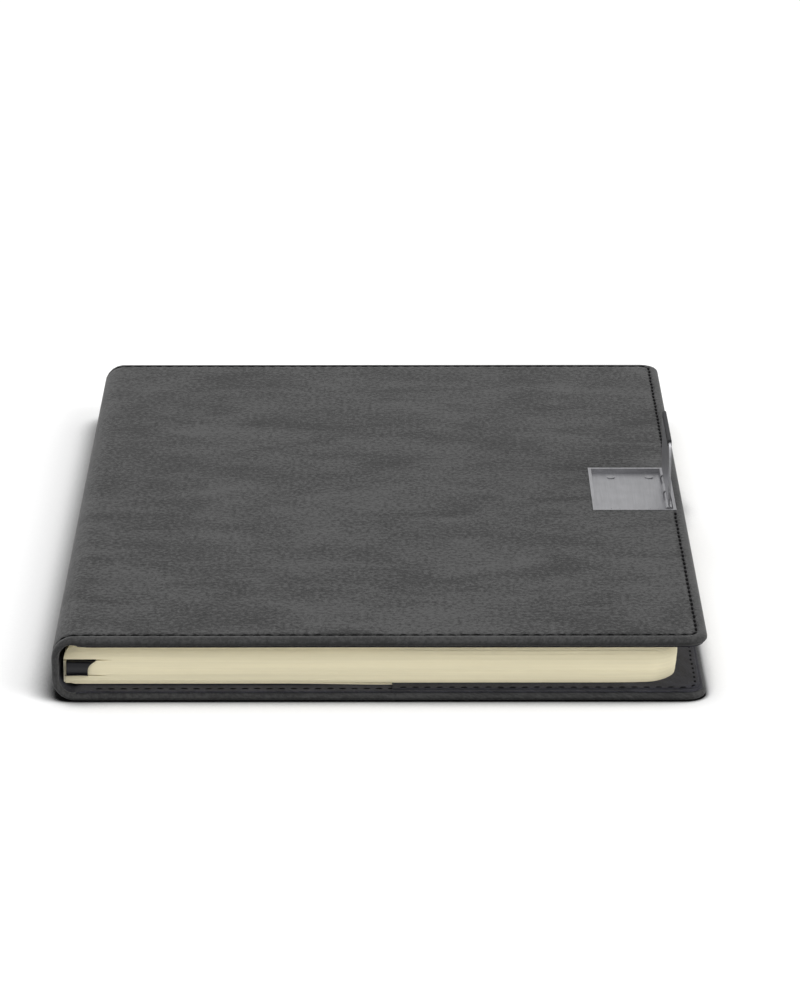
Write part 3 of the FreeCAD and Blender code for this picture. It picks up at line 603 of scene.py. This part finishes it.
def cut_window(piece):
    """Cut the stand's window through a cover with a box that is a little larger than the pan."""
    slack = 0.04
    past = 2
    low = np.array([PAN_LOW[0] - slack, PAN_LOW[1] - slack, PAN_LOW[2] - past / 2]) * MM
    high = np.array([PAN_HIGH[0] + slack, PAN_HIGH[1] + slack, TOP + past]) * MM
    mesh = bpy.data.meshes.new("window")
    work = bmesh.new()
    bmesh.ops.create_cube(work, size=1)
    bmesh.ops.scale(work, verts=work.verts, vec=high - low)
    bmesh.ops.translate(work, verts=work.verts, vec=(high + low) / 2)
    work.to_mesh(mesh)
    work.free()
    box = bpy.data.objects.new("window", mesh)
    bpy.context.scene.collection.objects.link(box)
    cut = piece.modifiers.new("window", "BOOLEAN")
    cut.operation = "DIFFERENCE"
    cut.object = box
    bpy.context.view_layer.update()
    evaluated = piece.evaluated_get(bpy.context.evaluated_depsgraph_get())
    shaped = bpy.data.meshes.new_from_object(evaluated)
    piece.modifiers.clear()
    piece.data = shaped
    bpy.data.objects.remove(box)


class ORGANISER_OT_covers(bpy.types.Operator):
    """Make the suede skins of both covers and the spine"""

    bl_idname = "organiser.covers"
    bl_label = "Suede covers"

    def execute(self, context):
        for cover in COVERS:
            piece = cover_skin(cover, context.scene.organiser_sizes)
            bend_at_spine(piece, cover)
            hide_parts(cover.skin, "spine_skin")
        return {"FINISHED"}


# Section of a thin sheet's soft edge, given as the covers' rim is.
THIN_RIM = [(5.0, 0), (0.5, 0), (0.2, 0.06), (0.06, 0.24), (0, 0.5), (0.06, 0.76), (0.2, 0.94),
            (0.5, 1), (5.0, 1)]


def thin_sheet(name, low, high, radii, thick, depth_of, upper, material, held=(1, 1, 1, 1)):
    """A thin sheet with soft edges: its outer face lies at depth_of(run, y), and its inner face
    its thickness further in."""
    insets, shares = np.array(THIN_RIM).T
    place, flat, level, faces = slab(low, high, radii, insets, shares * thick, (60, 60), held)
    run, y = place.T
    depth = depth_of(run, y) + shares[level] * thick
    return make_piece(name, wrap(run, y, depth, upper), faces, flat, finish(material))


class ORGANISER_OT_linings(bpy.types.Operator):
    """Make the lining of each cover, with half the spine's lining"""

    bl_idname = "organiser.linings"
    bl_label = "Linings"

    def execute(self, context):
        corner = context.scene.organiser_sizes.cover_corner
        for cover in COVERS:
            low, high = cover.lining_box
            thick = high[2] - low[2]
            end = run_of(high[0])
            inset = corner - (FORE - high[0])
            piece = thin_sheet(
                f"{cover.side}_lining_sheet", (0, low[1]), (end, high[1]), (0, inset, inset, 0),
                thick, lambda run, y: SPINE_DEEP + (cover.deep - SPINE_DEEP) * ease(
                    (run - FLAT_START + 0.8) / 2.2), cover.upper, "lining",
                held=SPINE_HELD)
            bend_at_spine(piece, cover)
            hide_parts(f"{cover.side}_lining", "spine_lining")
        return {"FINISHED"}


class ORGANISER_OT_pockets(bpy.types.Operator):
    """Make the pocket of each cover, sewn down on three sides over the insert's card"""

    bl_idname = "organiser.pockets"
    bl_label = "Pockets"

    def execute(self, context):
        for cover in COVERS:
            low, high = cover.pocket_box
            thick = (cover.pocket - cover.lining) / 2
            start, end = run_of(low[0]), run_of(high[0])

            def depth_of(run, y):
                inside = np.minimum(end - run, np.minimum(y - low[1], high[1] - y))
                lifted = ease((inside - 1.3) / 1.5)
                return cover.lining + 0.01 + (thick - 0.02) * lifted

            piece = thin_sheet(f"{cover.side}_pocket_sheet", (start, low[1]), (end, high[1]),
                               (0, 3.5, 3.5, 0), thick, depth_of, cover.upper, "lining")
            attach(piece, cover.body)
            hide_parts(f"{cover.side}_pocket")
        return {"FINISHED"}


# ---- paper insert ----

# Height over which the leaves' fore-edge corners are drawn in, and how far at the bottom.
CORNER_TALL = 6.0
CORNER_IN = 1.0
# Most that one row is set in, and how far its top and bottom are drawn in.
LOOSE = 0.05
DRAWN = 0.03
# How far the front leaves lean in at their top, where the cover shades them.
FRONT_LEAN = 1.5
# The top of the leaves slopes down to the spine from this x, by this much.
SLOPE_END = -69.5
SLOPE_DROP = 0.7
# How far past the ribbon the leaves lie parted, and how far the ribbon's lower run lifts them.
PARTED = 4.5
BED = 0.25


def leaf_block(name, low, high, corner, seed, row_height, lean, lift=None):
    """A block of leaves: rings in rows, each row set in by its own small random amount and drawn
    in a little at its top and bottom, so that the cut edges show as fine level lines. The rows
    lean in towards the top by the square of their height times lean, and the fore-edge corners
    are drawn in towards the bottom of the insert."""
    rows = max(3, round((high[2] - low[2]) / row_height))
    draw = np.random.default_rng(seed)
    rim = [(5.0, 0.0), (2 * DRAWN + lean, 0.0)]
    for number in range(rows):
        set_in = draw.uniform(0, LOOSE) + lean * (1 - (number + 0.5) / rows) ** 2
        rim += [(set_in + DRAWN, (number + 0.08) / rows), (set_in, (number + 0.35) / rows),
                (set_in, (number + 0.65) / rows), (set_in + DRAWN, (number + 0.92) / rows)]
    rim += [(2 * DRAWN, 1.0), (5.0, 1.0)]
    insets, shares = np.array(rim).T
    tall = high[2] - low[2]
    place, flat, level, faces = slab(low[:2], high[:2], (0, corner, corner, 0), insets,
                                     shares * tall, (50, 60))
    x, y = place.T
    share = shares[level]
    z = high[2] - share * tall
    z = z + 0.05 * ripple(x, y, seed, 50) * np.sin(math.pi * share)
    height = z - span("leaves_lower")[0][2]
    under = CORNER_IN * np.clip(1 - height / CORNER_TALL, 0, 1) ** 1.5
    aside = np.minimum(y - low[1], high[1] - y)
    near = np.exp(-(((high[0] - x - 2) ** 2 + (aside - 2) ** 2) / corner ** 2))
    x = x - under * near
    y = y - 0.7 * under * near * np.sign(y)
    if lift is not None:
        z = z + lift(x, y, share)
    return make_piece(name, np.stack([x, y, z], 1), faces, flat, finish("paper"))


def by_ribbon(x, y, taper):
    """1 along the ribbon's hidden run, falling to 0 over the taper past its edge and past its
    inner end."""
    low, high = span("bookmark_ribbon")
    return (1 - ease((x - high[0]) / taper)) * (1 - ease((y - high[1] + 6) / 8))


class ORGANISER_OT_leaves(bpy.types.Operator):
    """Make the three blocks of leaves, parted where the ribbon goes in and out"""

    bl_idname = "organiser.leaves"
    bl_label = "Leaves"

    def execute(self, context):
        sizes = context.scene.organiser_sizes
        split = (span("leaves_middle")[1][2] + span("leaves_front")[0][2]) / 2
        part = split - span("leaves_middle")[1][2] - 0.01

        def lift_middle(x, y, share):
            return (by_ribbon(x, y, PARTED - 1) * BED * share
                    - by_ribbon(x, y, PARTED) * part * (1 - share))

        def lift_front(x, y, share):
            spine = ease((SLOPE_END - x) / 5)
            return by_ribbon(x, y, PARTED) * part * share - SLOPE_DROP * spine * (1 - share)

        for node, body, seed, lift in (("leaves_lower", "back", 21, None),
                                       ("leaves_middle", "back", 22, lift_middle),
                                       ("leaves_front", "front_leaves", 23, lift_front)):
            low, high = span(node)
            if node == "leaves_middle":
                high[2] = split - 0.01
            if node == "leaves_front":
                low[2] = split + 0.01
            lean = FRONT_LEAN if node == "leaves_front" else 0.0
            piece = leaf_block(f"{node}_cut", low, high, sizes.leaf_corner, seed,
                               sizes.row_height, lean, lift)
            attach(piece, body)
            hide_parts(node)
        return {"FINISHED"}


# The back card lies under the leaves up to this far from the pocket's mouth, and then dips into it.
DIP_START, DIP_LONG = 26, 25


class ORGANISER_OT_back_card(bpy.types.Operator):
    """Make the insert's back card, which bends down from the leaves into the back pocket"""

    bl_idname = "organiser.back_card"
    bl_label = "Back card"

    def execute(self, context):
        low, high = span("insert_back_card")
        leaves = span("leaves_lower")[0][2]
        thick = high[2] - low[2]
        rise = leaves - high[2] - 0.02
        corner = context.scene.organiser_sizes.leaf_corner
        piece = thin_sheet(
            "back_card_bent", (run_of(low[0]), low[1]), (run_of(high[0]), high[1]),
            (0, corner, corner, 0), thick,
            lambda run, y: low[2] + rise * (
                1 - ease((run - run_of(MOUTH) + DIP_START) / DIP_LONG)),
            False, "card")
        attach(piece, "back")
        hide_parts("insert_back_card")
        return {"FINISHED"}


RIBBON_THICK = 0.18
# Width at the lower run, and how much wider the ribbon spreads at the upper one.
RIBBON_WIDE, RIBBON_SPREAD = 5.1, 1.9
# How far its middle is crowned, and how square its section is.
RIBBON_CROWN, RIBBON_SQUARE = 0.12, 0.35


class ORGANISER_OT_ribbon(bpy.types.Operator):
    """Make the bookmark ribbon, looped over the tail of one bundle of leaves"""

    bl_idname = "organiser.ribbon"
    bl_label = "Bookmark ribbon"

    def execute(self, context):
        low, high = span("bookmark_ribbon")
        bottom, top = low[2] + 0.12, high[2] - 0.14
        tail = span("leaves_middle")[0][1]
        # straight in the leaves, then half an ellipse outside them, then straight back
        turn = np.linspace(0, math.pi, 49)
        bulge = tail - low[1] - RIBBON_THICK
        loop_y = tail - bulge * np.sin(turn) ** 0.8
        loop_z = (top + bottom) / 2 - (top - bottom) / 2 * np.cos(turn)
        inside = np.linspace(high[1], tail + 0.6, 30)
        y = np.concatenate([inside, loop_y, inside[::-1]])
        z = np.concatenate([0 * inside + bottom, loop_z, 0 * inside + top])
        width = RIBBON_WIDE + RIBBON_SPREAD * ((z - bottom) / (top - bottom)) ** 5
        x = low[0] + width / 2
        path = np.stack([x, y, z], 1)
        across = np.zeros_like(path)
        across[:, 0] = 1
        around = np.linspace(0, 2 * math.pi, 24, endpoint=False)
        wide = np.sign(np.cos(around)) * abs(np.cos(around)) ** RIBBON_SQUARE / 2
        deep = np.sign(np.sin(around)) * abs(np.sin(around)) ** RIBBON_SQUARE / 2
        crown = RIBBON_CROWN * (1 - (2 * wide) ** 2)
        lifted = deep * RIBBON_THICK + crown
        section = np.stack([wide * width[:, None], 0 * width[:, None] + lifted], 2)
        points, faces, _, count = swept(path, across, section)
        run = np.concatenate([[0], np.cumsum(np.linalg.norm(np.diff(path, axis=0), axis=1))])
        flat = np.stack([section[..., 0].ravel(), np.repeat(run, count)], 1)
        piece = make_piece("bookmark_ribbon_satin", points, faces, flat, finish("ribbon"),
                           crease=1.2)
        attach(piece, "back")
        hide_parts("bookmark_ribbon")
        return {"FINISHED"}


# ---- stitching ----

# The outer seam starts this far round the spine's bend. Thread goes down this far at a stitch's
# ends, and its middle lies this far below the front face and above the lining.
SEAM_START = FLAT_START - 4.5
DIP, FACE_DEEP, LINING_DEEP = 0.3, 0.24, 0.2
# Spread of the stitches' headings, in radians, and of their shifts to the side.
ASKEW, ASIDE = 0.05, 0.06


def seam_line(sizes):
    """The seam in the flat: along the tail, round a corner, up the fore-edge, round a corner and
    back along the head. Returns close points and their distances."""
    inset, corner = sizes.seam_inset, sizes.cover_corner
    radius = corner - inset
    turn = np.linspace(-math.pi / 2, 0, 20)
    arc = np.stack([RUN_END - corner + radius * np.cos(turn),
                    TAIL + corner + radius * np.sin(turn)], 1)
    tail = np.concatenate([[[SEAM_START, TAIL + inset]], arc])
    line = np.concatenate([tail, tail[::-1] * (1, -1)])
    return line, np.concatenate([[0], np.cumsum(np.linalg.norm(np.diff(line, axis=0), axis=1))])


def stitches(name, cover, sizes, inner):
    """Thread along a seam: each stitch is a short round bar whose radius and height fall towards
    its ends, where it goes down its holes."""
    line, length = seam_line(sizes)

    def at(distance):
        return [np.interp(distance, length, part) for part in line.T]

    centre = np.arange(sizes.stitch_pitch / 2, length[-1], sizes.stitch_pitch)
    x, y = at(centre)
    dx, dy = np.subtract(at(centre + 0.3), at(centre - 0.3))
    draw = np.random.default_rng(31 + inner)
    heading = np.arctan2(dy, dx) + draw.normal(0, ASKEW, len(x))
    shift = draw.normal(0, ASIDE, len(x))
    keep = np.ones(len(x), bool)
    if cover.upper:
        keep &= ~((abs(y) < PAN_HIGH[1] + 1.2) & (x > run_of(PAN_LOW[0])))
    if inner:
        keep &= x > FLAT_START + 3
    x, y, heading, shift = x[keep], y[keep], heading[keep], shift[keep]
    station = np.array([-1, -0.92, -0.7, -0.3, 0.3, 0.7, 0.92, 1])
    around = np.linspace(0, 2 * math.pi, 6, endpoint=False)
    thick = sizes.thread_width / 2
    radius = thick * np.sqrt(np.clip(1.02 - station ** 4, 0, None))
    along = station[:, None] * sizes.stitch_length / 2 + 0 * around
    beside = radius[:, None] * np.cos(around)
    lift = radius[:, None] * np.sin(around)
    dip = DIP * abs(station[:, None]) ** 3
    if inner:
        face = np.where(x > run_of(MOUTH), (cover.lining + cover.pocket) / 2, cover.lining)
        depth = face[:, None, None] - LINING_DEEP - dip - lift
    elif cover.upper:
        depth = FACE_DEEP + dip - lift + 0 * x[:, None, None]
    else:
        depth = thick + 0.02 + dip - lift + 0 * x[:, None, None]
    beside = beside + shift[:, None, None]
    cos, sin = np.cos(heading)[:, None, None], np.sin(heading)[:, None, None]
    run = x[:, None, None] + along * cos - beside * sin
    place_y = y[:, None, None] + along * sin + beside * cos
    points = wrap(run.ravel(), place_y.ravel(), depth.ravel(), cover.upper)
    rows, count = len(station), len(around)
    one = np.arange(rows * count).reshape(rows, count)
    sides = quads(np.concatenate([one, one[:, :1]], 1))
    starts = np.arange(len(x))[:, None, None] * rows * count
    faces = (sides + starts).reshape(-1, 4).tolist()
    caps = np.stack([one[0, ::-1], one[-1]])
    faces += (caps + starts).reshape(-1, count).tolist()
    flat = np.stack([run.ravel(), place_y.ravel()], 1)
    return make_piece(name, points, faces, flat, finish("thread"))


class ORGANISER_OT_stitching(bpy.types.Operator):
    """Sew the stitches along the edges of both covers, outside and inside"""

    bl_idname = "organiser.stitching"
    bl_label = "Stitching"

    def execute(self, context):
        sizes = context.scene.organiser_sizes
        for cover in COVERS:
            bend_at_spine(stitches(f"{cover.side}_stitching", cover, sizes, False), cover)
            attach(stitches(f"{cover.side}_inner_stitching", cover, sizes, True), cover.body)
        return {"FINISHED"}


# ---- charger ----

# Radius of the hole in the coil.
COIL_BORE = 10


class ORGANISER_OT_coil(bpy.types.Operator):
    """Wind the charging coil"""

    bl_idname = "organiser.coil"
    bl_label = "Charging coil"

    def execute(self, context):
        low, high = span("charging_coil")
        wire = min(context.scene.organiser_sizes.wire_width, high[2] - low[2])
        centre = (low + high) / 2
        inner, outer = COIL_BORE + wire / 2, (high[0] - low[0]) / 2 - wire / 2
        turns = math.floor((outer - inner) / wire)
        # a flat spiral whose radius grows by one wire's width each turn
        angle = np.linspace(0, turns * 2 * math.pi, turns * 60 + 1)
        radius = inner + (outer - inner) * angle / angle[-1]
        path = np.stack([centre[0] + radius * np.cos(angle), centre[1] + radius * np.sin(angle),
                         centre[2] + 0 * angle], 1)
        across = np.zeros_like(path)
        across[:, 2] = 1
        around = np.linspace(0, 2 * math.pi, 10, endpoint=False)
        ring = np.stack([np.cos(around), np.sin(around)], 1) * wire / 2
        section = np.broadcast_to(ring, (len(path), *ring.shape))
        points, faces, rows, count = swept(path, across, section)
        flat = np.stack([np.tile(around, rows), np.repeat(angle * radius, count)], 1)
        piece = make_piece("charging_coil_wound", points, faces, flat, finish("copper"),
                           crease=1.2)
        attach(piece, "front")
        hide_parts("charging_coil")
        return {"FINISHED"}


CAD_FINISHES = {
    "back_board": "board", "front_board": "board", "insert_front_card": "card",
    "insert_spine_card": "card", "charger_tray": "moulding", "ferrite_shield": "ferrite",
    "charger_board": "mask", "charger_chips": "chips", "flex_lead": "mask",
    "port_block": "moulding", "usb_socket_shell": "steel", "usb_socket_tongue": "moulding",
    "status_led": "lens", "stand_base": "steel", "stand_hinge_pin": "steel",
    "stand_leaf": "steel", "stand_tip": "silicone", "stand_rivets": "steel",
}


class ORGANISER_OT_hard_pieces(bpy.types.Operator):
    """Give the boards, cards, charger, inlet and stand their finishes"""

    bl_idname = "organiser.hard_pieces"
    bl_label = "Hard pieces"

    def execute(self, context):
        for node, name in CAD_FINISHES.items():
            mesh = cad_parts[node].data
            mesh.materials.clear()
            mesh.materials.append(finish(name))
        return {"FINISHED"}


# ---- stage ----

# Half the width of the floor, and how far it lies below the back cover.
FLOOR_HALF, FLOOR_LOW = 3000, 0.05


class ORGANISER_OT_stage(bpy.types.Operator):
    """Set the floor, the soft light and the camera"""

    bl_idname = "organiser.stage"
    bl_label = "Stage"

    def execute(self, context):
        scene = context.scene
        scene.view_settings.view_transform = "Standard"
        side = np.linspace(-FLOOR_HALF, FLOOR_HALF, 5)
        x, y = np.meshgrid(side, side, indexing="ij")
        points = np.stack([x, y, 0 * x - FLOOR_LOW], 2).reshape(-1, 3)
        material, tree, shader = new_finish("matt_white_paper_sweep")
        # seamless white background paper: matt, with a tooth too fine to see
        place = add(tree, "TexCoord").outputs["Object"]
        tooth = add(tree, "TexNoise", {"Vector": place, "Scale": 900})
        tone = add(tree, "Mix", {0: tooth.outputs[0], 6: linear("#F6F6F6"),
                                 7: linear("#FAFAFA")}, data_type="RGBA")
        # painted contact shadow: the sweep's colour is darkened where the covers hide the light
        # that it gets from within 15 mm
        open_share = add(tree, "AmbientOcclusion", {"Distance": 0.015}, samples=24)
        painted_contact_shadow = add(tree, "MapRange", {"Value": open_share.outputs["AO"],
                                         "From Min": 0.5, "From Max": 0.81})
        shaded = add(tree, "Mix", {0: painted_contact_shadow.outputs[0], 6: linear("#1C1C1C"),
                                   7: tone.outputs[2]}, data_type="RGBA")
        plug(tree, shader, {"Base Color": shaded.outputs[2], "Roughness": 1.0,
                            "Specular IOR Level": 0.0})
        floor = make_piece("floor", points, quads(np.arange(len(points)).reshape(x.shape)),
                           points[:, :2], material)
        world = bpy.data.worlds.new("soft_box")
        world.use_nodes = True
        world.node_tree.nodes["Background"].inputs[0].default_value = (1, 1, 1, 1)
        world.node_tree.nodes["Background"].inputs[1].default_value = 0.7
        scene.world = world
        for name, spot, size, power in (("overhead", (-0.2, 0.3, 1.5), 1.6, 11),
                                        ("front", (1.1, -0.8, 0.95), 0.9, 12)):
            lamp = bpy.data.lights.new(name, "AREA")
            lamp.shape = "SQUARE"
            lamp.size = size
            lamp.energy = power
            light = bpy.data.objects.new(name, lamp)
            light.location = spot
            light.rotation_euler = (-Vector(spot)).to_track_quat("-Z", "Y").to_euler()
            scene.collection.objects.link(light)
        camera = bpy.data.objects.new("camera", bpy.data.cameras.new("camera"))
        camera.data.sensor_width = 36
        camera.data.lens = 162.5
        camera.data.clip_end = 20
        camera.location = (0.00241, -1.1106, 0.3943)
        camera.rotation_euler = (math.radians(90 - 18.95), 0, math.radians(-0.139))
        scene.collection.objects.link(camera)
        scene.camera = camera
        return {"FINISHED"}


STEPS = (ORGANISER_OT_stage, ORGANISER_OT_covers, ORGANISER_OT_linings, ORGANISER_OT_pockets,
         ORGANISER_OT_leaves, ORGANISER_OT_back_card, ORGANISER_OT_ribbon,
         ORGANISER_OT_stitching, ORGANISER_OT_coil, ORGANISER_OT_hard_pieces)


class ORGANISER_PT_panel(bpy.types.Panel):
    """Lists the organiser's sizes, colours and steps"""

    bl_label = "Organiser"
    bl_space_type = "VIEW_3D"
    bl_region_type = "UI"
    bl_category = "Organiser"

    def draw(self, context):
        for settings in (context.scene.organiser_sizes, context.scene.organiser_colours):
            for name in settings.__annotations__:
                self.layout.prop(settings, name)
        for step in STEPS:
            self.layout.operator(step.bl_idname)


CLASSES = (OrganiserSizes, OrganiserColours, *STEPS, ORGANISER_PT_panel)


def register():
    """Register the classes and hang the settings on the scene."""
    for kind in CLASSES:
        bpy.utils.register_class(kind)
    bpy.types.Scene.organiser_sizes = bpy.props.PointerProperty(type=OrganiserSizes)
    bpy.types.Scene.organiser_colours = bpy.props.PointerProperty(type=OrganiserColours)


def unregister():
    """Take the settings and the classes away again."""
    del bpy.types.Scene.organiser_colours
    del bpy.types.Scene.organiser_sizes
    for kind in reversed(CLASSES):
        bpy.utils.unregister_class(kind)


def main():
    """Make every piece in order."""
    register()
    for step in STEPS:
        group, name = step.bl_idname.split(".")
        getattr(getattr(bpy.ops, group), name)()


if __name__ == "__main__":
    main()
